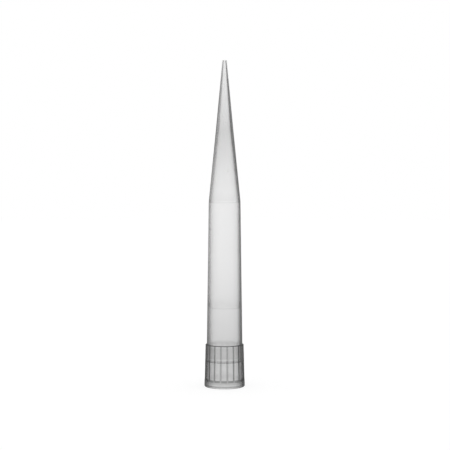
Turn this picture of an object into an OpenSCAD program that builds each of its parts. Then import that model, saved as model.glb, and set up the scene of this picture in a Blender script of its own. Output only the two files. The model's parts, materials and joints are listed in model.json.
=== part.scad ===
// Pipette tip of the 5 mL class: one moulding in natural polypropylene.
// It stands on the open rim of its collar, with the orifice at the top.
// The origin is the centre of the open rim, and +Z runs along the axis to the orifice.
// Heights count up from the rim. Every diameter is in millimetres.

/* [Nozzle] */
// Outer diameter at the orifice
orifice_od = 1.6; // [1.3:0.05:2.4]
// Bore of the orifice
orifice_bore = 0.74; // [0.5:0.02:1]
// Height of the slender nozzle below the orifice
nozzle_h = 24; // [16:0.5:34]
// Outer diameter where the nozzle meets the cone
nozzle_foot_od = 6.12; // [5:0.05:7.2]
// Wall where the nozzle meets the cone
nozzle_foot_wall = 1.04; // [0.6:0.02:1.4]
// How far the bore's own bend lies below the outer one
bore_bend_drop = 2; // [0.5:0.1:4]

/* [Cone] */
// Height of the cone between nozzle and shoulder
cone_h = 27.8; // [18:0.2:38]
// Outer diameter at the shoulder
shoulder_od = 11.68; // [10.4:0.02:12.6]
// Wall of the cone at the shoulder
cone_wall = 0.78; // [0.5:0.02:1.1]

/* [Barrel] */
// Height of the barrel between shoulder and collar
barrel_h = 52.6; // [42:0.1:64]
// Outer diameter where the barrel enters the collar
barrel_foot_od = 13.12; // [12.6:0.02:13.6]
// Wall of the barrel below the shoulder
barrel_top_wall = 0.62; // [0.45:0.01:0.76]
// Wall of the barrel at the collar
barrel_foot_wall = 0.98; // [0.7:0.02:1.2]
// How far the step inside the bore lies below the shoulder
bore_step_drop = 0.5; // [0.4:0.1:2]

/* [Graduation ring] */
// Height of the ring's sharp edge above the rim
ring_z = 29; // [22:0.1:56]
// Length of the ring's gentle side
ring_run = 2.6; // [1:0.1:4]
// How far the ring stands into the bore
ring_h = 0.14; // [0.04:0.01:0.2]

/* [Collar] */
// Height of the collar above the rim
collar_h = 15.6; // [13:0.1:20]
// Step from the barrel out to the panels at the collar's top
collar_step = 0.22; // [0.08:0.01:0.4]
// Wall between the seal land and the panels
collar_wall = 0.9; // [0.6:0.02:1.2]
// Radius that rounds the ribs at the collar's top
rib_top_r = 0.24; // [0.1:0.02:0.3]
// Radius that rounds the panels at the collar's top
panel_edge_r = 0.1; // [0.04:0.01:0.14]
// Number of ribs round the collar
rib_count = 18; // [6:1:24]
// Width of a rib
rib_w = 0.5; // [0.3:0.02:0.8]
// Height of a rib over the panels
rib_h = 0.23; // [0.1:0.01:0.3]
// Angle of the first rib, counted from +X
rib_start = 18.25; // [0:0.25:20]
// Height of the smooth band under the ribs
band_h = 2.2; // [1.4:0.1:3.4]
// Height of the slope from the band up to a panel
band_slope_h = 0.8; // [0.4:0.05:1.2]
// How far the band stands out over the ribs
band_proud = 0.08; // [0.02:0.01:0.3]
// Extra radius of the band at its foot
band_flare = 0.06; // [0.02:0.01:0.2]
// Radius that rounds the outer edge of the rim
rim_r = 0.44; // [0.2:0.02:0.6]

/* [Socket] */
// Diameter of the cylindrical land that seals on the pipette's nose
seat_d = 12.4; // [12:0.02:12.6]
// Length of the seal land
seat_len = 4.4; // [2.5:0.1:6]
// Height of the ledge that stops the nose
ledge_z = 9.3; // [7.5:0.1:11]
// Bore of the barrel just above the ledge
ledge_bore = 11.5; // [11.2:0.02:11.8]
// Height of the slope on the ledge's inner edge
ledge_slope_h = 0.6; // [0.2:0.05:0.8]
// Width of the slope on the ledge's inner edge
ledge_slope_w = 0.25; // [0.1:0.01:0.3]
// Diameter of the flared mouth where its lead-in starts
mouth_d = 12.96; // [12.8:0.02:13.3]
// Height of the lead-in at the mouth, from the rim up
mouth_lead_h = 0.85; // [0.4:0.05:1.4]
// Width of the lead-in at the mouth
mouth_lead_w = 0.2; // [0.05:0.01:0.3]

/* [Hidden] */
// Facets of a full turn, and chords of a quarter round
$fn = 96;
ARC_STEPS = 4;
// Overlap that carries a cutter clear of the face it cuts
CUT = 1;

// Heights where one stretch ends and the next begins
shoulder_z = collar_h + barrel_h;
nozzle_z = shoulder_z + cone_h;
orifice_z = nozzle_z + nozzle_h;
bore_step_z = shoulder_z - bore_step_drop;
bore_bend_z = nozzle_z - bore_bend_drop;

// Outer radii
orifice_or = orifice_od / 2;
nozzle_foot_r = nozzle_foot_od / 2;
shoulder_r = shoulder_od / 2;
barrel_foot_r = barrel_foot_od / 2;
seat_r = seat_d / 2;
panel_top_r = barrel_foot_r + collar_step;
panel_foot_r = seat_r + collar_wall;
crest_top_r = panel_top_r + rib_h;
crest_foot_r = panel_foot_r + rib_h;
band_top_r = crest_foot_r + band_proud;
band_foot_r = band_top_r + band_flare;
band_top_z = band_h + band_slope_h;

// Inner radii
orifice_ir = orifice_bore / 2;
bore_bend_r = cone_r(bore_bend_z) - nozzle_foot_wall;
cone_bore_r = shoulder_r - cone_wall;
barrel_top_bore_r = shoulder_r - barrel_top_wall;
barrel_foot_bore_r = barrel_foot_r - barrel_foot_wall;
ledge_bore_r = ledge_bore / 2;
mouth_r = mouth_d / 2;
seat_foot_z = ledge_z - seat_len;

// Value on the straight line through (x0, y0) and (x1, y1)
function line(x, x0, y0, x1, y1) = y0 + (y1 - y0) * (x - x0) / (x1 - x0);
// Outer radius of the cone at height z
function cone_r(z) = line(z, shoulder_z, shoulder_r, nozzle_z, nozzle_foot_r);
// Bore radius of the barrel at height z
function barrel_bore_r(z) = line(z, collar_h, barrel_foot_bore_r, bore_step_z, barrel_top_bore_r);
// Chords of an arc about (cx, cy), from angle a0 to a1
function arc(cx, cy, r, a0, a1) = [
    for (i = [0:ARC_STEPS])
        let (a = a0 + (a1 - a0) * i / ARC_STEPS)
            [cx + r * cos(a), cy + r * sin(a)]
];

// Outer surface, from the rim up to the orifice
outer_line = concat(
    arc(band_foot_r - rim_r, rim_r, rim_r, -90, 0),
    [
        [band_top_r, band_h],
        [crest_foot_r, band_top_z]
    ],
    arc(crest_top_r - rib_top_r, collar_h - rib_top_r, rib_top_r, 0, 90),
    [
        [barrel_foot_r, collar_h],
        [shoulder_r, shoulder_z],
        [nozzle_foot_r, nozzle_z],
        [orifice_or, orifice_z]
    ]
);

// Bore, from the orifice down to the mouth
bore_line = [
    [orifice_ir, orifice_z],
    [bore_bend_r, bore_bend_z],
    [cone_bore_r, bore_step_z],
    [barrel_top_bore_r, bore_step_z],
    [barrel_bore_r(ring_z + ring_run), ring_z + ring_run],
    [barrel_bore_r(ring_z) - ring_h, ring_z],
    [barrel_bore_r(ring_z), ring_z],
    [barrel_foot_bore_r, collar_h],
    [ledge_bore_r, ledge_z + ledge_slope_h],
    [ledge_bore_r + ledge_slope_w, ledge_z],
    [seat_r, ledge_z],
    [seat_r, seat_foot_z],
    [mouth_r, mouth_lead_h],
    [mouth_r + mouth_lead_w, 0]
];

// The whole wall turned in one piece, with a plain collar as wide as the ribs
module shell() {
    rotate_extrude()
        polygon(concat(outer_line, bore_line));
}

// Section between the panel surface and beyond the ribs, open at the top of the collar
module panel_section() {
    polygon(concat(
        [
            [band_top_r, band_h],
            [panel_foot_r, band_top_z]
        ],
        arc(panel_top_r - panel_edge_r, collar_h - panel_edge_r, panel_edge_r, 0, 90),
        [
            [panel_top_r - panel_edge_r, collar_h + CUT],
            [band_foot_r + CUT, collar_h + CUT],
            [band_foot_r + CUT, band_h]
        ]
    ));
}

// Everything outside the panels, all the way round
module panel_ring() {
    rotate_extrude()
        panel_section();
}

// One flat-sided rib blank that runs from the axis out through the panel ring
module rib_blank(angle) {
    rotate([0, 0, angle])
        translate([0, -rib_w / 2, 0])
            cube([band_foot_r + 2 * CUT, rib_w, collar_h + 2 * CUT]);
}

// The panels as cutters: the ring without the ribs
module panel_cutter() {
    difference() {
        panel_ring();
        for (i = [0:rib_count - 1])
            rib_blank(rib_start + i * 360 / rib_count);
    }
}

module pipette_tip() {
    color([0.86, 0.87, 0.87, 0.6])
        difference() {
            shell();
            panel_cutter();
        }
}

pipette_tip();
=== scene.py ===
"""Pipette tip of the 5 mL class, one moulding in natural polypropylene that stands on its open rim.

Each stretch of the tip is a class that holds its sizes and adds its own corners to one profile. The
moulding turns that profile, sinks the collar's panels between its ribs and takes its finish, with
painted shade on its small slopes, roundings and ribs. Lengths are in metres, heights count up from
the rim, and +Z runs along the axis to the orifice.
"""

import json
import logging
import math
from dataclasses import dataclass, field
from typing import Any

import bmesh
import bpy
from bmesh.types import BMesh
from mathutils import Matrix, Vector


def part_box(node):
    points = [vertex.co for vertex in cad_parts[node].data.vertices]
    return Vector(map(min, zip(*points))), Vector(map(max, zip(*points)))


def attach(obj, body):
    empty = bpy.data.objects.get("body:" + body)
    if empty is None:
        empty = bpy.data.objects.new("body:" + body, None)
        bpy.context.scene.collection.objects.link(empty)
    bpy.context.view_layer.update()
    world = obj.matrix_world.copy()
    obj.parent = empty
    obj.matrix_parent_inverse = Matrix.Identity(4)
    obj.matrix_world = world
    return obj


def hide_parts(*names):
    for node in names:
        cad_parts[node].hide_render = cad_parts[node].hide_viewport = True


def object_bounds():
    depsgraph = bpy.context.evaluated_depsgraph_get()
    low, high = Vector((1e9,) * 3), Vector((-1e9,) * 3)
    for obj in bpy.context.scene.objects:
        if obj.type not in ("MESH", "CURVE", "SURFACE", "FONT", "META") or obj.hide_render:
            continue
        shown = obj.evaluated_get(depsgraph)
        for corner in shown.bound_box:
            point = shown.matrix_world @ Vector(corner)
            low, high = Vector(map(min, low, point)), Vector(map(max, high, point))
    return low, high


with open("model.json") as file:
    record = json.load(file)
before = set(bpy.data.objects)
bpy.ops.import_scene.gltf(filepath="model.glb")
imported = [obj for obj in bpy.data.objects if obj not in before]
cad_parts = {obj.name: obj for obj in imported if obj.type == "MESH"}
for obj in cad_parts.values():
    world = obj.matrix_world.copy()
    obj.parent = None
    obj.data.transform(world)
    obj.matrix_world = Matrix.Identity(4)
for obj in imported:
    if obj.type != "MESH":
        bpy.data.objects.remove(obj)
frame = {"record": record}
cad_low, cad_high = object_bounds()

MM = 0.001
# Slack that keeps a place on a surface apart from the places off it
HAIR = 0.01 * MM
# Face attributes: the painted shade on a rounding, slope or rib, and whether a face is on the outside
PAINTED_FACE_SHADE = "edge_shade"
OUTER_SKIN = "outer_skin"

log = logging.getLogger("pipette_tip")


# ------------------------------------------------------------------ helpers


def srgb(code: str) -> tuple[float, float, float, float]:
    """Turns an sRGB hex colour into linear RGBA.

    Args:
        code: Six hex digits, with or without a leading #.

    Returns:
        The colour as four linear values, with full alpha.
    """
    code = code.lstrip("#")
    channels = []
    for start in (0, 2, 4):
        value = int(code[start : start + 2], 16) / 255
        linear = value / 12.92 if value <= 0.04045 else ((value + 0.055) / 1.055) ** 2.4
        channels.append(linear)
    return (channels[0], channels[1], channels[2], 1.0)


def add_node(
    tree: bpy.types.NodeTree,
    kind: str,
    settings: dict[str, Any] | None = None,
    links: dict[Any, Any] | None = None,
) -> bpy.types.Node:
    """Adds one node with its settings and its incoming links.

    Args:
        tree: Node tree that takes the node.
        kind: Blender's name for the kind of node.
        settings: Values by input name or number, or by the name of a property of the node.
        links: Source sockets by input name or number.

    Returns:
        The new node.
    """
    node = tree.nodes.new(kind)
    for key, value in (settings or {}).items():
        if isinstance(key, str) and hasattr(node, key):
            setattr(node, key, value)
        else:
            node.inputs[key].default_value = value
    for key, source in (links or {}).items():
        tree.links.new(source, node.inputs[key])
    return node


def link_object(name: str, data: bpy.types.ID) -> bpy.types.Object:
    """Puts new data into the scene as an object.

    Args:
        name: Name of the object.
        data: Its mesh, lamp or camera.

    Returns:
        The new object.
    """
    obj = bpy.data.objects.new(name, data)
    bpy.context.scene.collection.objects.link(obj)
    return obj


# ------------------------------------------------------------------ profile


@dataclass(frozen=True)
class Corner:
    """One corner of the turned profile, with the length that its rounding takes off each side."""

    radius: float
    height: float
    rounding: float = 0.0


def along(height: float, low: Corner, high: Corner) -> float:
    """Gives the radius at a height on the straight line between two corners.

    Args:
        height: Height in question.
        low: One end of the line.
        high: The other end.

    Returns:
        The radius there.
    """
    share = (height - low.height) / (high.height - low.height)
    return low.radius + (high.radius - low.radius) * share


@dataclass(frozen=True)
class PaintedShadeBand:
    """Stretch of the surface, such as a small slope, where a darker tint is painted as shade for the light
    that it bends away.
    """

    low: float
    high: float
    inner: float
    outer: float
    shade: float
    between_ribs: bool = False


@dataclass(frozen=True)
class Station:
    """Column of the mesh: its turn from a rib's middle, and how much of the recess it takes."""

    turn: float
    recess: float


@dataclass(frozen=True)
class Nozzle:
    """Slender end that dips into the liquid."""

    height: float = 24 * MM
    orifice_od: float = 1.6 * MM
    orifice_bore: float = 0.74 * MM
    foot_od: float = 6.12 * MM
    foot_wall: float = 1.04 * MM
    bore_bend_drop: float = 2 * MM
    bend_rounding: float = 0.6 * MM
    orifice_rounding: float = 0.05 * MM

    def outer(self, foot: float) -> list[Corner]:
        """Gives the outer corners.

        Args:
            foot: Height of the nozzle's foot.

        Returns:
            The corners, from the foot up.
        """
        return [
            Corner(self.foot_od / 2, foot, self.bend_rounding),
            Corner(self.orifice_od / 2, foot + self.height, self.orifice_rounding),
        ]

    def bore(self, foot: float, shoulder: Corner) -> list[Corner]:
        """Gives the bore's corners.

        Args:
            foot: Height of the nozzle's foot.
            shoulder: Outer corner where the cone below starts.

        Returns:
            The corners, from the orifice down.
        """
        bend = foot - self.bore_bend_drop
        outside = along(bend, shoulder, Corner(self.foot_od / 2, foot))
        return [
            Corner(self.orifice_bore / 2, foot + self.height, self.orifice_rounding),
            Corner(outside - self.foot_wall, bend, self.bend_rounding),
        ]


@dataclass(frozen=True)
class Cone:
    """Steeper stretch between the nozzle and the barrel's shoulder."""

    height: float = 27.8 * MM
    shoulder_od: float = 11.68 * MM
    wall: float = 0.78 * MM
    shoulder_rounding: float = 0.3 * MM

    def shoulder(self, height: float) -> Corner:
        """Gives the outer corner at the given shoulder height."""
        return Corner(self.shoulder_od / 2, height, self.shoulder_rounding)


@dataclass(frozen=True)
class GraduationRing:
    """Moulded ring in the bore: a sharp edge above a bore that swells gently into it."""

    height: float = 29.0 * MM
    run: float = 2.6 * MM
    rise: float = 0.14 * MM
    rounding: float = 0.02 * MM
    # Stretch over the edge that takes painted shade, and how dark it is
    lip: float = 0.36 * MM
    shade: float = 0.12

    def corners(self, top: Corner, foot: Corner) -> list[Corner]:
        """Gives the ring's corners on the bore's straight taper.

        Args:
            top: Upper end of the bore's taper.
            foot: Lower end of the bore's taper.

        Returns:
            The corners, from the top down.
        """
        start = self.height + self.run
        wall = along(self.height, foot, top)
        swell = Corner(along(start, foot, top), start, self.rounding)
        edge = Corner(wall - self.rise, self.height, self.rounding)
        # Corner in line with the swell, where the painted shade over the edge ends
        lip = self.height + self.lip
        return [swell, Corner(along(lip, edge, swell), lip), edge, Corner(wall, self.height)]

    def painted_shade_bands(self, wall: float) -> list[PaintedShadeBand]:
        """Gives the painted shade on the lip over the ring's sharp edge, inside the given outer radius."""
        return [PaintedShadeBand(self.height, self.height + self.lip, 0.0, wall, self.shade)]


@dataclass(frozen=True)
class Barrel:
    """Long reservoir between the shoulder and the collar."""

    foot_od: float = 13.12 * MM
    top_wall: float = 0.62 * MM
    foot_wall: float = 0.98 * MM
    step_drop: float = 0.5 * MM
    step_rounding: float = 0.05 * MM
    ring: GraduationRing = field(default_factory=GraduationRing)

    def bore(self, collar_top: float, shoulder: Corner, cone_wall: float) -> list[Corner]:
        """Gives the bore's corners from the step under the shoulder down to the collar.

        Args:
            collar_top: Height where the barrel enters the collar.
            shoulder: Outer corner of the shoulder.
            cone_wall: Wall of the cone above the step.

        Returns:
            The corners, from the step down.
        """
        step = shoulder.height - self.step_drop
        top = Corner(shoulder.radius - self.top_wall, step)
        foot = Corner(self.foot_od / 2 - self.foot_wall, collar_top)
        return [
            Corner(shoulder.radius - cone_wall, step, self.step_rounding),
            top,
            *self.ring.corners(top, foot),
            foot,
        ]


@dataclass(frozen=True)
class Socket:
    """Seat for the pipette's nose: ledge, cylindrical land and flared mouth."""

    seat_radius: float
    seat_length: float
    seat_middle: float
    ledge_bore: float = 11.5 * MM
    ledge_slope_height: float = 0.6 * MM
    ledge_slope_width: float = 0.25 * MM
    mouth_od: float = 12.96 * MM
    lead_height: float = 0.85 * MM
    lead_width: float = 0.2 * MM
    edge_rounding: float = 0.08 * MM
    land_rounding: float = 0.6 * MM
    # Stretch of the lead-in that takes painted shade, and how dark the painted shade on it and on the
    # ledge's slope is
    lead_shade_foot: float = 0.42 * MM
    lead_shade_top: float = 0.83 * MM
    ledge_shade: float = 0.42
    lead_shade: float = 0.65

    @property
    def ledge(self) -> float:
        """Height of the ledge that stops the nose."""
        return self.seat_middle + self.seat_length / 2

    def bore(self) -> list[Corner]:
        """Gives the socket's corners.

        Returns:
            The corners, from the ledge down to the rim.
        """
        land_foot = self.seat_middle - self.seat_length / 2
        throat = self.ledge_bore / 2
        mouth = self.mouth_od / 2
        lead = Corner(mouth, self.lead_height, self.edge_rounding)
        rim = Corner(mouth + self.lead_width, 0.0)
        return [
            Corner(throat, self.ledge + self.ledge_slope_height, self.edge_rounding),
            Corner(throat + self.ledge_slope_width, self.ledge, self.edge_rounding),
            Corner(self.seat_radius, self.ledge, self.edge_rounding),
            Corner(self.seat_radius, land_foot, self.land_rounding),
            lead,
            # Corners in line with the lead-in, which bound its stretch of painted shade
            Corner(along(self.lead_shade_top, lead, rim), self.lead_shade_top),
            Corner(along(self.lead_shade_foot, lead, rim), self.lead_shade_foot),
            rim,
        ]

    def painted_shade_bands(self) -> list[PaintedShadeBand]:
        """Gives the places in the socket that take painted shade.

        Returns:
            The ledge's slope and the upper half of the lead-in at the mouth.
        """
        slope_foot = self.ledge - self.edge_rounding
        slope_top = self.ledge + self.ledge_slope_height
        rim = self.mouth_od / 2 + self.lead_width
        return [
            PaintedShadeBand(slope_foot, slope_top, 0.0, self.seat_radius, self.ledge_shade),
            PaintedShadeBand(self.lead_shade_foot, self.lead_shade_top, 0.0, rim, self.lead_shade),
        ]


@dataclass(frozen=True)
class Collar:
    """Thick foot of the tip: smooth band, sunk panels and the ribs left between them."""

    top: float
    seat_radius: float
    barrel_foot_radius: float
    step: float = 0.22 * MM
    wall: float = 0.9 * MM
    rib_count: int = 18
    rib_width: float = 0.5 * MM
    rib_height: float = 0.23 * MM
    rib_start: float = math.radians(18.25)
    rib_top_radius: float = 0.24 * MM
    rib_side: float = 0.2 * MM
    rib_foot_spread: float = 0.02 * MM
    # Width of the strip of panel beside each rib that takes painted shade, as no fillet is modelled there
    painted_strip_beside_rib: float = 0.12 * MM
    rib_side_steps: int = 4
    panel_columns: int = 10
    panel_edge_radius: float = 0.1 * MM
    band_height: float = 2.2 * MM
    band_slope_height: float = 0.8 * MM
    band_proud: float = 0.08 * MM
    band_flare: float = 0.06 * MM
    band_rounding: float = 0.1 * MM
    rim_radius: float = 0.44 * MM
    # How dark the painted shade on the small slopes, roundings and ribs is, from 0 as a wall to 1 as an
    # edge, and how far the painted stretches reach
    top_line: float = 0.28 * MM
    top_shade: float = 1.0
    slope_shade: float = 0.8
    slope_fade: float = 0.7 * MM
    fade_shade: float = 0.3
    rim_shade: float = 0.2
    rib_foot_shade: float = 0.5
    rib_shade: float = 0.43
    rib_low_shade: float = 0.55
    painted_beside_rib_shade: float = 0.2

    @property
    def crest_top_radius(self) -> float:
        """Radius over the ribs at the collar's top."""
        return self.barrel_foot_radius + self.step + self.rib_height

    @property
    def crest_foot_radius(self) -> float:
        """Radius over the ribs at their foot."""
        return self.seat_radius + self.wall + self.rib_height

    @property
    def slope_top(self) -> float:
        """Height where the slope above the band ends."""
        return self.band_height + self.band_slope_height

    def outer(self) -> list[Corner]:
        """Gives the outer corners over the ribs.

        Returns:
            The corners, from the rim up to the barrel.
        """
        band_top = self.crest_foot_radius + self.band_proud
        rim = Corner(band_top + self.band_flare, 0.0, self.rim_radius)
        edge = Corner(band_top, self.band_height)
        # Corner in line with the band, where the painted shade under the slope starts
        fade = self.band_height - self.slope_fade
        foot = Corner(self.crest_foot_radius, self.slope_top, self.band_rounding)
        top = Corner(self.crest_top_radius, self.top, self.rib_top_radius)
        # Corner in line with the crest, where the painted line at the top starts
        line = self.top - self.top_line
        return [
            rim,
            Corner(along(fade, rim, edge), fade),
            edge,
            foot,
            Corner(along(line, foot, top), line),
            top,
            Corner(self.barrel_foot_radius, self.top),
        ]

    def stations(self) -> list[Station]:
        """Lays the mesh columns across one rib and the panel that follows it.

        Returns:
            The columns, from the rib's far side to the panel's end.
        """
        middle = (self.crest_top_radius + self.crest_foot_radius) / 2
        crest = (self.rib_width / 2 + self.rib_foot_spread - self.rib_side) / middle
        side = []
        for step in range(self.rib_side_steps + 1):
            bend = math.pi / 2 * step / self.rib_side_steps
            turn = crest + self.rib_side / middle * math.sin(bend)
            side.append(Station(turn, 1 - math.cos(bend)))
        far_side = [Station(-station.turn, station.recess) for station in reversed(side)]
        foot = side[-1].turn
        gap = (math.tau / self.rib_count - 2 * foot) / (self.panel_columns + 1)
        panel = [Station(foot + gap * step, 1.0) for step in range(1, self.panel_columns + 1)]
        return [*far_side, *side, *panel]

    def cut_ribs(self, mesh: BMesh) -> None:
        """Moves the columns of the turned mesh to the ribs, and sinks the panels between them.

        Args:
            mesh: Moulding that was turned as wide as its ribs, with its first column at the first rib.
        """
        stations = self.stations()
        columns = len(stations) * self.rib_count
        for vertex in mesh.verts:
            turn = math.atan2(vertex.co.y, vertex.co.x) - self.rib_start
            rib, place = divmod(round(turn / math.tau * columns) % columns, len(stations))
            station = stations[place]
            radius, height = self.recessed(vertex.co.xy.length, vertex.co.z, station.recess)
            turn = self.rib_start + rib * math.tau / self.rib_count + station.turn
            vertex.co = (radius * math.cos(turn), radius * math.sin(turn), height)

    def recessed(self, radius: float, height: float, recess: float) -> tuple[float, float]:
        """Moves a place on the outside in from the crest of the ribs towards the panel.

        Args:
            radius: Radius on the crest.
            height: Height on the crest.
            recess: Share of the way to the panel.

        Returns:
            Radius and height of the moved place, or of the same place off the ribs.
        """
        if height < self.band_height or radius < self.barrel_foot_radius + HAIR:
            return radius, height
        if height > self.top - self.rib_top_radius - HAIR:
            scale = self.panel_edge_radius / self.rib_top_radius
            panel_radius = self.barrel_foot_radius + self.step + (radius - self.crest_top_radius) * scale
            panel_height = self.top + (height - self.top) * scale
        else:
            share = (height - self.band_height) / self.band_slope_height
            panel_radius = radius - self.rib_height * min(max(share, 0.0), 1.0)
            panel_height = height
        return (
            radius + (panel_radius - radius) * recess,
            height + (panel_height - height) * recess,
        )

    def beside_rib(self, place: Vector) -> float:
        """Measures how far a place lies from the nearest rib's side.

        Args:
            place: Place on the collar.

        Returns:
            The distance round the collar, which is below zero on the rib.
        """
        pitch = math.tau / self.rib_count
        turn = math.atan2(place.y, place.x) - self.rib_start + pitch / 2
        return abs(turn % pitch - pitch / 2) * place.xy.length - self.rib_width / 2

    def on_rib(self, place: Vector) -> bool:
        """Tells whether a place lies on one of the ribs, its sides included."""
        return self.beside_rib(place) < self.rib_foot_spread

    def painted_rib_shade(self, place: Vector, ledge: float) -> float:
        """Gives the shade painted on the ribs, darkest below the ledge, and on a strip of panel beside
        them.

        Args:
            place: Middle of a face.
            ledge: Height of the ledge inside.

        Returns:
            The painted shade there, which is 0 away from the ribs.
        """
        if place.z < self.band_height or place.xy.length < self.barrel_foot_radius:
            return 0.0
        if self.on_rib(place):
            if place.z < self.slope_top:
                return self.rib_foot_shade
            return self.rib_low_shade if place.z < ledge else self.rib_shade
        # Painted shade on a strip of panel beside each rib, where no fillet is modelled
        beside = self.beside_rib(place) < self.painted_strip_beside_rib
        return self.painted_beside_rib_shade if beside and self.slope_top < place.z < ledge else 0.0

    def painted_shade_bands(self) -> list[PaintedShadeBand]:
        """Gives the places on the collar that take painted shade.

        Returns:
            The step at the top, the slopes at the panels' feet, the shade under them and the rim's
            rounding.
        """
        inner = self.barrel_foot_radius
        outer = self.crest_foot_radius + self.band_proud + self.band_flare
        fade_foot = self.band_height - self.slope_fade
        return [
            PaintedShadeBand(self.top - self.top_line, self.top + HAIR, inner, outer, self.top_shade),
            PaintedShadeBand(self.band_height, self.slope_top, inner, outer, self.slope_shade, True),
            PaintedShadeBand(fade_foot, self.band_height, inner, outer, self.fade_shade),
            PaintedShadeBand(0.0, self.rim_radius, outer - self.rim_radius, outer, self.rim_shade),
        ]


# ------------------------------------------------------------------ finish


@dataclass(frozen=True)
class Landmarks:
    """Heights where the moulding's section, and with it the plastic's look, changes."""

    band: float
    ledge: float
    collar_top: float
    ring: float
    shoulder: float
    nozzle_foot: float
    orifice: float


@dataclass(frozen=True)
class NaturalPolypropylene:
    """Unpigmented injection-moulded polypropylene with a satin skin.

    The crystals in it scatter a little light, so it looks clear but grey and soft, and the far side
    shows through it only as a blur. Its tint is darker or lighter by height as the haze steps list,
    and a band in the throat over the ledge is painted lighter. Walls seen edge on darken, partly by
    the longer path through the wall and partly as painted shade for the light that they bend away,
    and painted shade is marked on small slopes, roundings and ribs.
    """

    colour: str = "#FEFEFE"
    haze_and_painted_shade_colour: str = "#3C3C3C"
    # Share of the dark tint in a wall that faces the eye, by height; with none in the throat over the
    # ledge, a lighter band is painted there
    seat_haze: float = 0.0
    land_haze: float = 0.03
    ledge_haze: float = 0.065
    collar_haze: float = 0.126
    collar_top_haze: float = 0.04
    painted_light_band_haze: float = 0.0
    barrel_foot_haze: float = 0.052
    barrel_haze: float = 0.012
    shoulder_haze: float = 0.045
    cone_foot_haze: float = 0.025
    cone_haze: float = 0.06
    nozzle_foot_haze: float = 0.15
    nozzle_haze: float = 0.09
    orifice_haze: float = 0.03
    # Length over which one look turns into the next, and how far from a landmark it does so
    transition: float = 0.1 * MM
    seat_depth: float = 4 * MM
    land_depth: float = 2.4 * MM
    throat_rise: float = 0.8 * MM
    throat_length: float = 0.6 * MM
    collar_top_fade: float = 1 * MM
    collar_top_drop: float = 0.4 * MM
    collar_top_rise: float = 0.6 * MM
    barrel_rise: float = 15 * MM
    shoulder_foot_rise: float = 0.3 * MM
    shoulder_top_rise: float = 1.2 * MM
    cone_foot_rise: float = 3.2 * MM
    cone_rise: float = 12 * MM
    nozzle_foot_drop: float = 2 * MM
    nozzle_rise: float = 6 * MM
    # Slant at which a wall starts to darken, partly by the longer path through it and partly as painted
    # shade for the light it bends away, from 0 where it faces the eye to 1 edge on
    band_edge_start: float = 0.02
    land_edge_start: float = 0.15
    throat_edge_start: float = 0.14
    barrel_foot_edge_start: float = 0.36
    shoulder_edge_start: float = 0.68
    nozzle_edge_start: float = 0.42
    orifice_edge_start: float = 0.1
    ior: float = 1.49
    # The bore is rougher than the outside by the polish, and roughest in the collar
    collar_roughness: float = 0.32
    roughness: float = 0.26
    outer_polish: float = 0.12
    roughness_spread: float = 0.05
    absorption_colour: str = "#CACACA"
    absorption: float = 0.03 / MM
    # Share of the light that comes straight through to the floor and the far wall
    lamp_share: float = 0.85
    # Flow lines that the melt leaves along the axis: their spacing, length and height
    grain: float = 1.4 * MM
    flow_length: float = 14 * MM
    bump_height: float = 0.002 * MM

    def haze_steps(self, marks: Landmarks) -> list[tuple[float, float]]:
        """Gives the haze of the walls by height.

        Args:
            marks: Heights where the section changes.

        Returns:
            Heights with the haze there, from the rim up.
        """
        return [
            (marks.ledge - self.seat_depth, self.seat_haze),
            (marks.ledge - self.land_depth, self.land_haze),
            (marks.ledge - self.transition, self.ledge_haze),
            (marks.ledge + self.transition, self.collar_haze),
            # Painted light: a lighter band in the throat over the ledge
            *self.throat_steps(marks, self.collar_haze, self.painted_light_band_haze),
            (marks.collar_top - self.collar_top_fade, self.collar_haze),
            (marks.collar_top - self.collar_top_drop, self.collar_top_haze),
            (marks.collar_top + self.collar_top_rise, self.collar_top_haze),
            (marks.collar_top + self.collar_top_fade, self.barrel_foot_haze),
            (marks.ring + self.barrel_rise, self.barrel_haze),
            (marks.shoulder, self.barrel_haze),
            (marks.shoulder + self.shoulder_foot_rise, self.shoulder_haze),
            (marks.shoulder + self.shoulder_top_rise, self.shoulder_haze),
            (marks.shoulder + self.cone_foot_rise, self.cone_foot_haze),
            (marks.shoulder + self.cone_rise, self.cone_haze),
            (marks.nozzle_foot - self.nozzle_foot_drop, self.nozzle_foot_haze),
            (marks.nozzle_foot + self.nozzle_rise, self.nozzle_haze),
            (marks.orifice, self.orifice_haze),
        ]

    def throat_steps(self, marks: Landmarks, around: float, inside: float) -> list[tuple[float, float]]:
        """Gives a value that is another in the throat over the ledge than around it.

        Args:
            marks: Heights where the section changes.
            around: Value below and above the throat.
            inside: Value in the throat.

        Returns:
            Heights with the value there, from the throat's foot up.
        """
        foot = marks.ledge + self.throat_rise
        top = foot + self.throat_length
        half = self.transition / 2
        return [(foot - half, around), (foot + half, inside), (top - half, inside), (top + half, around)]

    def roughness_steps(self, marks: Landmarks) -> list[tuple[float, float]]:
        """Gives the roughness of the bore by height.

        Args:
            marks: Heights where the section changes.

        Returns:
            Heights with the roughness there, from the rim up.
        """
        return [
            *self.throat_steps(marks, self.collar_roughness, self.roughness),
            (marks.collar_top, self.collar_roughness),
            (marks.collar_top + self.transition, self.roughness),
        ]

    def edge_steps(self, marks: Landmarks) -> list[tuple[float, float]]:
        """Gives the slant at which the walls start to darken, by height.

        Args:
            marks: Heights where the section changes.

        Returns:
            Heights with the start there, from the rim up.
        """
        return [
            (marks.band - self.transition, self.band_edge_start),
            (marks.band, self.land_edge_start),
            (marks.ledge, self.land_edge_start),
            (marks.ledge + self.transition, self.throat_edge_start),
            (marks.collar_top, self.throat_edge_start),
            (marks.collar_top + self.transition, self.barrel_foot_edge_start),
            (marks.shoulder, self.shoulder_edge_start),
            (marks.nozzle_foot, self.nozzle_edge_start),
            (marks.orifice, self.orifice_edge_start),
        ]

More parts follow.
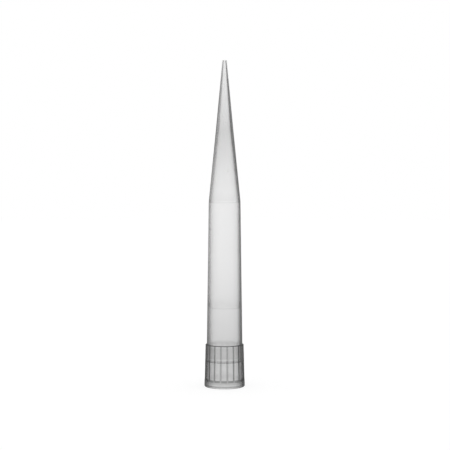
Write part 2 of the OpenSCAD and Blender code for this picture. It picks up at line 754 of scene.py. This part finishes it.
    def by_height(self, tree: bpy.types.NodeTree, height: Any, steps: list[tuple[float, float]]) -> Any:
        """Builds a value that runs in straight stretches from step to step.

        Args:
            tree: Node tree of the material.
            height: Socket with the height over the rim.
            steps: Heights with the value there, from the rim up.

        Returns:
            A socket with the value.
        """
        start = add_node(tree, "ShaderNodeValue")
        start.outputs[0].default_value = steps[0][1]
        level = start.outputs[0]
        for (low, before), (high, after) in zip(steps, steps[1:]):
            if before == after:
                continue
            rise = add_node(
                tree,
                "ShaderNodeMapRange",
                {"From Min": low, "From Max": high, "To Max": after - before},
                {"Value": height},
            )
            total = add_node(
                tree,
                "ShaderNodeMath",
                {"operation": "ADD"},
                {0: level, 1: rise.outputs["Result"]},
            )
            level = total.outputs[0]
        return level

    def flow_lines(self, tree: bpy.types.NodeTree, place: Any) -> Any:
        """Builds the faint relief of the flow lines along the axis.

        Args:
            tree: Node tree of the material.
            place: Socket with the place on the tip.

        Returns:
            A socket with the bent normal.
        """
        drawn = add_node(
            tree,
            "ShaderNodeMapping",
            {"Scale": (1 / self.grain, 1 / self.grain, 1 / self.flow_length)},
            {"Vector": place},
        )
        flow = add_node(
            tree,
            "ShaderNodeTexNoise",
            {"Scale": 1.0, "Detail": 1.0, "Roughness": 0.4},
            {"Vector": drawn.outputs["Vector"]},
        )
        bump = add_node(
            tree,
            "ShaderNodeBump",
            {"Strength": 1.0, "Distance": self.bump_height},
            {"Height": flow.outputs["Fac"]},
        )
        return bump.outputs["Normal"]

    def satin(self, tree: bpy.types.NodeTree, place: Any, base: Any) -> Any:
        """Builds the roughness, smoother on the outside and a little uneven all over.

        Args:
            tree: Node tree of the material.
            place: Socket with the place on the tip.
            base: Socket with the roughness of the bore.

        Returns:
            A socket with the roughness.
        """
        grain = add_node(
            tree,
            "ShaderNodeTexNoise",
            {"Scale": 1 / self.grain, "Detail": 2.0, "Roughness": 0.5},
            {"Vector": place},
        )
        outside = add_node(tree, "ShaderNodeAttribute", {"attribute_name": OUTER_SKIN})
        inner_and_outer = add_node(
            tree,
            "ShaderNodeMath",
            {"operation": "MULTIPLY_ADD", 1: -self.outer_polish},
            {0: outside.outputs["Fac"], 2: base},
        )
        uneven = add_node(
            tree,
            "ShaderNodeMath",
            {"operation": "MULTIPLY_ADD", 1: self.roughness_spread},
            {0: grain.outputs["Fac"], 2: inner_and_outer.outputs[0]},
        )
        return uneven.outputs[0]

    def tint(self, tree: bpy.types.NodeTree, haze: Any, edge_start: Any) -> Any:
        """Builds the colour, which darkens with the haze, with a wall's slant, partly as painted shade,
        and with the painted shade marked on small slopes and ribs.

        Args:
            tree: Node tree of the material.
            haze: Socket with the haze of the wall.
            edge_start: Socket with the slant at which the wall starts to darken.

        Returns:
            A socket with the colour.
        """
        # Walls seen edge on darken: partly the longer path through the wall, partly painted shade for the
        # light they bend away
        facing = add_node(tree, "ShaderNodeLayerWeight", {"Blend": 0.5})
        edge = add_node(
            tree,
            "ShaderNodeMapRange",
            {"interpolation_type": "SMOOTHSTEP", "From Max": 1.0},
            {"Value": facing.outputs["Facing"], "From Min": edge_start},
        )
        # Painted shade marked on the faces of small slopes, roundings and ribs
        shade = add_node(tree, "ShaderNodeAttribute", {"attribute_name": PAINTED_FACE_SHADE})
        edge_or_shade = add_node(
            tree,
            "ShaderNodeMix",
            {"data_type": "FLOAT", 3: 1.0},
            {0: shade.outputs["Fac"], 2: edge.outputs["Result"]},
        )
        share = add_node(
            tree,
            "ShaderNodeMath",
            {"operation": "ADD", "use_clamp": True},
            {0: edge_or_shade.outputs[0], 1: haze},
        )
        tint = add_node(
            tree,
            "ShaderNodeMix",
            {"data_type": "RGBA", 6: srgb(self.colour), 7: srgb(self.haze_and_painted_shade_colour)},
            {0: share.outputs[0]},
        )
        return tint.outputs[2]

    def material(self, marks: Landmarks) -> bpy.types.Material:
        """Builds the finish as a material.

        Args:
            marks: Heights where the section changes.

        Returns:
            The material.
        """
        material = bpy.data.materials.new("moulded_natural_polypropylene")
        material.use_nodes = True
        tree = material.node_tree
        tree.nodes.clear()
        place = add_node(tree, "ShaderNodeTexCoord").outputs["Object"]
        height = add_node(tree, "ShaderNodeSeparateXYZ", {}, {0: place}).outputs["Z"]
        haze = self.by_height(tree, height, self.haze_steps(marks))
        bore_roughness = self.by_height(tree, height, self.roughness_steps(marks))
        edge_start = self.by_height(tree, height, self.edge_steps(marks))
        plastic = add_node(
            tree,
            "ShaderNodeBsdfPrincipled",
            {"IOR": self.ior, "Transmission Weight": 1.0},
            {
                "Base Color": self.tint(tree, haze, edge_start),
                "Roughness": self.satin(tree, place, bore_roughness),
                "Normal": self.flow_lines(tree, place),
            },
        )
        clear = add_node(tree, "ShaderNodeBsdfTransparent", {"Color": (1.0, 1.0, 1.0, 1.0)})
        path = add_node(tree, "ShaderNodeLightPath")
        let_through = add_node(
            tree,
            "ShaderNodeMath",
            {"operation": "MULTIPLY", 1: self.lamp_share},
            {0: path.outputs["Is Shadow Ray"]},
        )
        surface = add_node(
            tree,
            "ShaderNodeMixShader",
            {},
            {0: let_through.outputs[0], 1: plastic.outputs[0], 2: clear.outputs[0]},
        )
        body = add_node(
            tree,
            "ShaderNodeVolumeAbsorption",
            {"Color": srgb(self.absorption_colour), "Density": self.absorption},
        )
        add_node(
            tree,
            "ShaderNodeOutputMaterial",
            {},
            {"Surface": surface.outputs[0], "Volume": body.outputs[0]},
        )
        return material


# ------------------------------------------------------------------ moulding


@dataclass(frozen=True)
class TipMoulding:
    """The whole tip, turned in one piece from the profile of all its stretches."""

    height: float
    collar: Collar
    socket: Socket
    nozzle: Nozzle = field(default_factory=Nozzle)
    cone: Cone = field(default_factory=Cone)
    barrel: Barrel = field(default_factory=Barrel)
    finish: NaturalPolypropylene = field(default_factory=NaturalPolypropylene)
    rounding_segments: int = 5
    # Longest step along the profile between two rings of the mesh
    ring_spacing: float = 2.5 * MM
    sharp_angle: float = math.radians(30)

    def profile(self) -> list[Corner]:
        """Gives the closed profile of the wall.

        Returns:
            The corners, up the outside from the rim and back down the bore.
        """
        nozzle_foot = self.height - self.nozzle.height
        shoulder = self.cone.shoulder(nozzle_foot - self.cone.height)
        return [
            *self.collar.outer(),
            shoulder,
            *self.nozzle.outer(nozzle_foot),
            *self.nozzle.bore(nozzle_foot, shoulder),
            *self.barrel.bore(self.collar.top, shoulder, self.cone.wall),
            *self.socket.bore(),
        ]

    def landmarks(self) -> Landmarks:
        """Gathers the heights where the finish changes.

        Returns:
            The heights, which count up from the rim.
        """
        nozzle_foot = self.height - self.nozzle.height
        return Landmarks(
            band=self.collar.band_height,
            ledge=self.socket.ledge,
            collar_top=self.collar.top,
            ring=self.barrel.ring.height,
            shoulder=nozzle_foot - self.cone.height,
            nozzle_foot=nozzle_foot,
            orifice=self.height,
        )

    def trace(self, mesh: BMesh) -> None:
        """Draws the profile as a closed wire through the first rib.

        Args:
            mesh: Empty mesh that takes the wire.
        """
        turn = self.collar.rib_start
        corners = self.profile()
        vertices = []
        for corner in corners:
            place = Vector((corner.radius * math.cos(turn), corner.radius * math.sin(turn), corner.height))
            vertices.append(mesh.verts.new(place))
        for start, end in zip(vertices, vertices[1:] + vertices[:1]):
            mesh.edges.new((start, end))
        for vertex, corner in zip(vertices, corners):
            if corner.rounding > 0:
                bmesh.ops.bevel(
                    mesh,
                    geom=[vertex],
                    offset=corner.rounding,
                    offset_type="OFFSET",
                    segments=self.rounding_segments,
                    profile=0.5,
                    affect="VERTICES",
                    clamp_overlap=False,
                    material=-1,
                )

    def divide(self, mesh: BMesh) -> None:
        """Cuts long edges of the wire into even lengths.

        Args:
            mesh: Mesh that holds the wire.
        """
        for edge in mesh.edges[:]:
            cuts = math.ceil(edge.calc_length() / self.ring_spacing) - 1
            if cuts > 0:
                bmesh.ops.subdivide_edges(mesh, edges=[edge], cuts=cuts)

    def mark_painted_shade_and_skin(self, mesh: BMesh) -> None:
        """Marks the painted shade on the small roundings, slopes and ribs, and tells the outside from the
        bore.

        Args:
            mesh: Moulding with its ribs cut.
        """
        shade = mesh.faces.layers.float[PAINTED_FACE_SHADE]
        skin = mesh.faces.layers.float[OUTER_SKIN]
        collar = self.collar
        inside_barrel = collar.barrel_foot_radius - self.barrel.foot_wall / 2
        bands = [
            *collar.painted_shade_bands(),
            *self.barrel.ring.painted_shade_bands(inside_barrel),
            *self.socket.painted_shade_bands(),
        ]
        for face in mesh.faces:
            middle = face.calc_center_median()
            across = middle.xy.length
            face[skin] = float(face.normal.xy.dot(middle.xy) > HAIR)
            # Painted shade: ribs and the stretches in the bands get a darker tint, standing in for the
            # light they bend away
            face[shade] = collar.painted_rib_shade(middle, self.socket.ledge)
            for band in bands:
                inside = band.low < middle.z < band.high and band.inner < across < band.outer
                if inside and not (band.between_ribs and collar.on_rib(middle)):
                    face[shade] = band.shade

    def build(self) -> bpy.types.Object:
        """Builds and dresses the moulding.

        Returns:
            The finished piece.
        """
        mesh = bmesh.new()
        mesh.faces.layers.float.new(PAINTED_FACE_SHADE)
        mesh.faces.layers.float.new(OUTER_SKIN)
        self.trace(mesh)
        self.divide(mesh)
        bmesh.ops.spin(
            mesh,
            geom=mesh.verts[:] + mesh.edges[:],
            cent=(0, 0, 0),
            axis=(0, 0, 1),
            angle=math.tau,
            steps=len(self.collar.stations()) * self.collar.rib_count,
            use_merge=True,
        )
        self.collar.cut_ribs(mesh)
        bmesh.ops.recalc_face_normals(mesh, faces=mesh.faces[:])
        self.mark_painted_shade_and_skin(mesh)
        for face in mesh.faces:
            face.smooth = True
        data = bpy.data.meshes.new("tip_moulding")
        mesh.to_mesh(data)
        mesh.free()
        data.set_sharp_from_angle(angle=self.sharp_angle)
        data.materials.append(self.finish.material(self.landmarks()))
        piece = link_object("tip_moulding", data)
        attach(piece, "root")
        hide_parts("pipette_tip")
        return piece


# ------------------------------------------------------------------ studio


@dataclass(frozen=True)
class SoftLamp:
    """Square softbox that faces the tip from the left and a little from behind."""

    direction: tuple[float, float] = (-1.0, 0.15)
    distance: float = 1.2
    height: float = 0.5
    width: float = 1.6
    power: float = 1.0

    def build(self, target: Vector) -> None:
        """Hangs the lamp.

        Args:
            target: Point that it faces.
        """
        data = bpy.data.lights.new("key_softbox", "AREA")
        data.shape = "SQUARE"
        data.size = self.width
        data.energy = self.power
        lamp = link_object("key_softbox", data)
        direction = Vector((*self.direction, 0.0)).normalized()
        lamp.location = direction * self.distance + Vector((0, 0, self.height))
        lamp.rotation_euler = (target - lamp.location).to_track_quat("-Z", "Y").to_euler()


@dataclass(frozen=True)
class Studio:
    """White sweep under plain soft light.

    What is looked at directly is white, and so is what is seen through the plastic away from the tip.
    What the plastic's edges mirror is the dim room round the sweep, which is what draws a clear
    piece's outline. The room is lighter on one side and evenly dim overhead, and near the tip the
    floor's glow is darkened as a painted shadow, both mirrored and seen through the plastic.
    """

    floor_width: float = 8.0
    floor_gap: float = 0.02 * MM
    room_level: float = 0.8
    overhead: float = 0.28
    # How steeply upwards the room's sides end, and where its level overhead starts
    side_top: float = 0.06
    overhead_foot: float = 0.22
    glow: float = 0.8
    room_colour: str = "#FFFFFF"
    floor_colour: str = "#8C8C8C"
    lit_floor_colour: str = "#E6E6E6"
    lamp: SoftLamp = field(default_factory=SoftLamp)
    # Levels by distance on the floor, seen through the tip and mirrored in it, which darken its glow near
    # the tip as a painted shadow, and levels by side
    painted_shadow_through: tuple[tuple[float, float], ...] = (
        (0.0, 0.61),
        (0.012, 0.67),
        (0.022, 0.745),
        (0.03, 0.76),
        (0.045, 0.71),
        (0.07, 0.705),
        (0.14, 0.735),
        (0.3, 0.83),
        (0.67, 0.95),
        (1.0, 1.0),
    )
    mirrored: tuple[tuple[float, float], ...] = (
        (0.0, 0.5),
        (0.012, 0.4),
        (0.025, 0.08),
        (0.1, 0.12),
        (0.16, 0.45),
        (0.29, 0.55),
        (0.46, 0.8),
        (1.0, 1.0),
    )
    sides: tuple[tuple[float, float], ...] = (
        (0.0, 0.1),
        (0.05, 0.3),
        (0.13, 0.56),
        (0.25, 0.52),
        (0.35, 0.42),
        (0.7, 0.1),
        (1.0, 0.06),
    )

    def seen(self, tree: bpy.types.NodeTree) -> Any:
        """Builds the switch for rays that come from the eye, straight, mirrored or through plastic.

        Args:
            tree: Node tree that takes it.

        Returns:
            A socket that is 1 for what is looked at, and 0 for what only lights the tip.
        """
        path = add_node(tree, "ShaderNodeLightPath")
        straight = add_node(
            tree,
            "ShaderNodeMath",
            {"operation": "MAXIMUM"},
            {0: path.outputs["Is Camera Ray"], 1: path.outputs["Is Transmission Ray"]},
        )
        either = add_node(
            tree,
            "ShaderNodeMath",
            {"operation": "MAXIMUM"},
            {0: straight.outputs[0], 1: path.outputs["Is Glossy Ray"]},
        )
        return either.outputs[0]

    def where_mirrored(self, tree: bpy.types.NodeTree, level: Any) -> Any:
        """Shows a level to rays that were mirrored on their way, and white to all others.

        Args:
            tree: Node tree of the floor or the room.
            level: Socket with the level for mirrored rays.

        Returns:
            A socket with the level to show.
        """
        path = add_node(tree, "ShaderNodeLightPath")
        mirrored = add_node(
            tree,
            "ShaderNodeMath",
            {"operation": "GREATER_THAN", 1: 0.5},
            {0: path.outputs["Glossy Depth"]},
        )
        return self.blend(tree, mirrored.outputs[0], 1.0, level)

    def blend(self, tree: bpy.types.NodeTree, share: Any, first: Any, second: Any) -> Any:
        """Blends two levels.

        Args:
            tree: Node tree that takes the blend.
            share: Socket with the second level's share.
            first: First level, as a number or a socket.
            second: Second level, as a number or a socket.

        Returns:
            A socket with the blend.
        """
        settings: dict[Any, Any] = {"data_type": "FLOAT"}
        links = {0: share}
        for slot, level in ((2, first), (3, second)):
            if isinstance(level, float):
                settings[slot] = level
            else:
                links[slot] = level
        return add_node(tree, "ShaderNodeMix", settings, links).outputs[0]

    def side_level(self, tree: bpy.types.NodeTree, place: Any) -> Any:
        """Builds the room's level by side, from the bright side on -X to the dim side on +X.

        Args:
            tree: Node tree of the floor or the room.
            place: Socket with the direction, or the place on the floor, that the ray meets.

        Returns:
            A socket with the level.
        """
        flat = add_node(
            tree,
            "ShaderNodeVectorMath",
            {"operation": "MULTIPLY", 1: (1.0, 1.0, 0.0)},
            {0: place},
        )
        heading = add_node(tree, "ShaderNodeVectorMath", {"operation": "NORMALIZE"}, {0: flat.outputs[0]})
        across = add_node(tree, "ShaderNodeSeparateXYZ", {}, {0: heading.outputs[0]})
        share = add_node(
            tree,
            "ShaderNodeMapRange",
            {"From Min": -1.0, "From Max": 1.0},
            {"Value": across.outputs["X"]},
        )
        return self.ramp(tree, share.outputs["Result"], self.sides)

    def ramp(self, tree: bpy.types.NodeTree, value: Any, steps: tuple[tuple[float, float], ...]) -> Any:
        """Builds a level that runs in straight stretches from step to step.

        Args:
            tree: Node tree of the floor or the room.
            value: Socket with the value that the steps count.
            steps: Values from 0 to 1 with the level there.

        Returns:
            A socket with the level.
        """
        fall = add_node(tree, "ShaderNodeValToRGB", {}, {"Fac": value})
        ramp = fall.color_ramp
        ramp.interpolation = "LINEAR"
        for position, _ in steps[1:-1]:
            ramp.elements.new(position)
        for stop, (position, level) in zip(ramp.elements, steps):
            stop.position = position
            stop.color = (level, level, level, 1.0)
        return fall.outputs["Color"]

    def product(self, tree: bpy.types.NodeTree, first: Any, second: Any) -> Any:
        """Multiplies two levels.

        Args:
            tree: Node tree that takes the product.
            first: Socket with the first level.
            second: Second level, as a number or a socket.

        Returns:
            A socket with the product.
        """
        settings: dict[Any, Any] = {"operation": "MULTIPLY"}
        links = {0: first}
        if isinstance(second, float):
            settings[1] = second
        else:
            links[1] = second
        return add_node(tree, "ShaderNodeMath", settings, links).outputs[0]

    def build_world(self) -> None:
        """Sets the light that comes from all round."""
        world = bpy.data.worlds.new("white_sweep")
        bpy.context.scene.world = world
        world.use_nodes = True
        tree = world.node_tree
        tree.nodes.clear()
        way = add_node(tree, "ShaderNodeTexCoord").outputs["Generated"]
        upward = add_node(tree, "ShaderNodeSeparateXYZ", {}, {0: way}).outputs["Z"]
        rise = add_node(
            tree,
            "ShaderNodeMapRange",
            {
                "interpolation_type": "SMOOTHSTEP",
                "From Min": self.side_top,
                "From Max": self.overhead_foot,
            },
            {"Value": upward},
        )
        room = self.blend(tree, rise.outputs["Result"], self.side_level(tree, way), self.overhead)
        white = srgb(self.room_colour)
        level = self.where_mirrored(tree, room)
        shown = add_node(tree, "ShaderNodeBackground", {"Color": white}, {"Strength": level})
        light = add_node(tree, "ShaderNodeBackground", {"Color": white, "Strength": self.room_level})
        mix = add_node(
            tree,
            "ShaderNodeMixShader",
            {},
            {0: self.seen(tree), 1: light.outputs[0], 2: shown.outputs[0]},
        )
        add_node(tree, "ShaderNodeOutputWorld", {}, {"Surface": mix.outputs[0]})

    def floor_material(self) -> bpy.types.Material:
        """Builds the floor's finish, which glows white to the eye, keeps the tip's cast shadow and has a
        painted shadow near the tip.

        Returns:
            The material.
        """
        material = bpy.data.materials.new("white_acrylic_sweep")
        material.use_nodes = True
        tree = material.node_tree
        tree.nodes.clear()
        place = add_node(tree, "ShaderNodeTexCoord").outputs["Object"]
        path = add_node(tree, "ShaderNodeLightPath")
        distance = add_node(tree, "ShaderNodeVectorMath", {"operation": "LENGTH"}, {0: place})
        reach = distance.outputs["Value"]
        # Painted shadow: the floor glows darker near the tip, mirrored and seen through it
        room = self.product(tree, self.side_level(tree, place), self.ramp(tree, reach, self.mirrored))
        behind = self.ramp(tree, reach, self.painted_shadow_through)
        through = self.blend(tree, path.outputs["Is Transmission Ray"], 1.0, behind)
        level = self.product(tree, self.where_mirrored(tree, room), through)
        glow = add_node(tree, "ShaderNodeEmission", {}, {"Strength": self.product(tree, level, self.glow)})
        paper = add_node(tree, "ShaderNodeBsdfDiffuse", {"Color": srgb(self.floor_colour)})
        both = add_node(tree, "ShaderNodeAddShader", {}, {0: glow.outputs[0], 1: paper.outputs[0]})
        plain = add_node(tree, "ShaderNodeBsdfDiffuse", {"Color": srgb(self.lit_floor_colour)})
        mix = add_node(
            tree,
            "ShaderNodeMixShader",
            {},
            {0: self.seen(tree), 1: plain.outputs[0], 2: both.outputs[0]},
        )
        add_node(tree, "ShaderNodeOutputMaterial", {}, {"Surface": mix.outputs[0]})
        return material

    def build_floor(self) -> None:
        """Lays the floor just under the tip."""
        mesh = bmesh.new()
        bmesh.ops.create_grid(mesh, x_segments=1, y_segments=1, size=self.floor_width / 2)
        data = bpy.data.meshes.new("floor")
        mesh.to_mesh(data)
        mesh.free()
        data.materials.append(self.floor_material())
        floor = link_object("floor", data)
        floor.location.z = -self.floor_gap

    def build(self, target: Vector) -> None:
        """Builds the world, the floor and the lamp.

        Args:
            target: Point that the lamp faces.
        """
        self.build_world()
        self.build_floor()
        self.lamp.build(target)


@dataclass(frozen=True)
class CameraRig:
    """Camera a little above the tip's middle, on its -Y side."""

    distance: float = 376 * MM
    height: float = 67 * MM
    lens: float = 81.6
    sensor: float = 36.0
    pitch: float = math.radians(1.14)
    offset: float = 0.15 * MM
    clip_start: float = 18.8 * MM

    def build(self) -> None:
        """Sets up the scene's camera."""
        data = bpy.data.cameras.new("camera")
        data.lens = self.lens
        data.sensor_width = self.sensor
        data.clip_start = self.clip_start
        camera = link_object("camera", data)
        camera.location = (self.offset, -self.distance, self.height)
        camera.rotation_euler = (math.pi / 2 - self.pitch, 0.0, 0.0)
        bpy.context.scene.camera = camera


# ------------------------------------------------------------------ main


def mount(name: str) -> dict[str, Any]:
    """Finds one of the part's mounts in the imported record."""
    return next(entry for entry in frame["record"]["mounts"] if entry["name"] == name)


def moulding() -> TipMoulding:
    """Sizes the moulding from the frame.

    Returns:
        The moulding, not yet built.
    """
    low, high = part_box("pipette_tip")
    seat = mount("nose_seat")
    shoulder = mount("rack_shoulder")
    barrel = Barrel()
    socket = Socket(
        seat_radius=seat["dims"]["r_mm"] * MM,
        seat_length=seat["dims"]["length_mm"] * MM,
        seat_middle=seat["pos_m"][2],
    )
    collar = Collar(
        top=shoulder["pos_m"][2],
        seat_radius=socket.seat_radius,
        barrel_foot_radius=barrel.foot_od / 2,
    )
    return TipMoulding(height=high.z - low.z, collar=collar, socket=socket, barrel=barrel)


def main() -> None:
    """Builds the camera, the studio and the tip."""
    logging.basicConfig(level=logging.INFO, format="%(name)s: %(message)s")
    bpy.context.scene.view_settings.view_transform = "Standard"
    CameraRig().build()
    Studio().build((cad_low + cad_high) / 2)
    piece = moulding().build()
    log.info("%s: %d faces", piece.name, len(piece.data.polygons))


if __name__ == "__main__":
    main()
